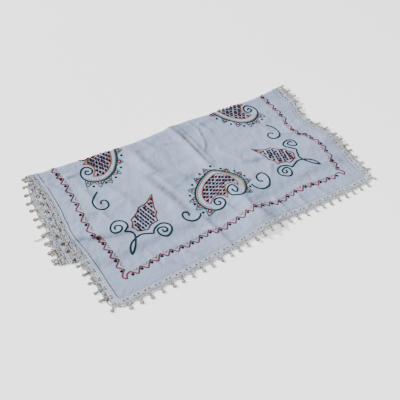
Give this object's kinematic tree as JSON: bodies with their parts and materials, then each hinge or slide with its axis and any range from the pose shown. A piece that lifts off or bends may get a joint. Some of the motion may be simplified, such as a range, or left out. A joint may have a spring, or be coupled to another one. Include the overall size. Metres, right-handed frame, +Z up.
{
  "type": "embroidered tablecloth",
  "caption": "Square cotton tablecloth with stitched borders and motifs and a crocheted drop edging, folded back and forth and lying flat.",
  "frame": {"origin": "centre of the bounding box, on the surface that the cloth lies on", "axes": "+X along the near hem to the right, +Y from the near hem to the far fold, +Z up"},
  "size_m": [0.813, 0.4353, 0.0164],
  "materials": {
    "cloth_cotton": "matte",
    "edging_cotton": "matte",
    "stitching": "satin"
  },
  "bodies": {
    "root": {"cloth": "cloth_cotton", "lace_near": "edging_cotton", "lace_left": "edging_cotton", "lace_right": "edging_cotton", "lace_far": "edging_cotton"}
  },
  "joints": []
}
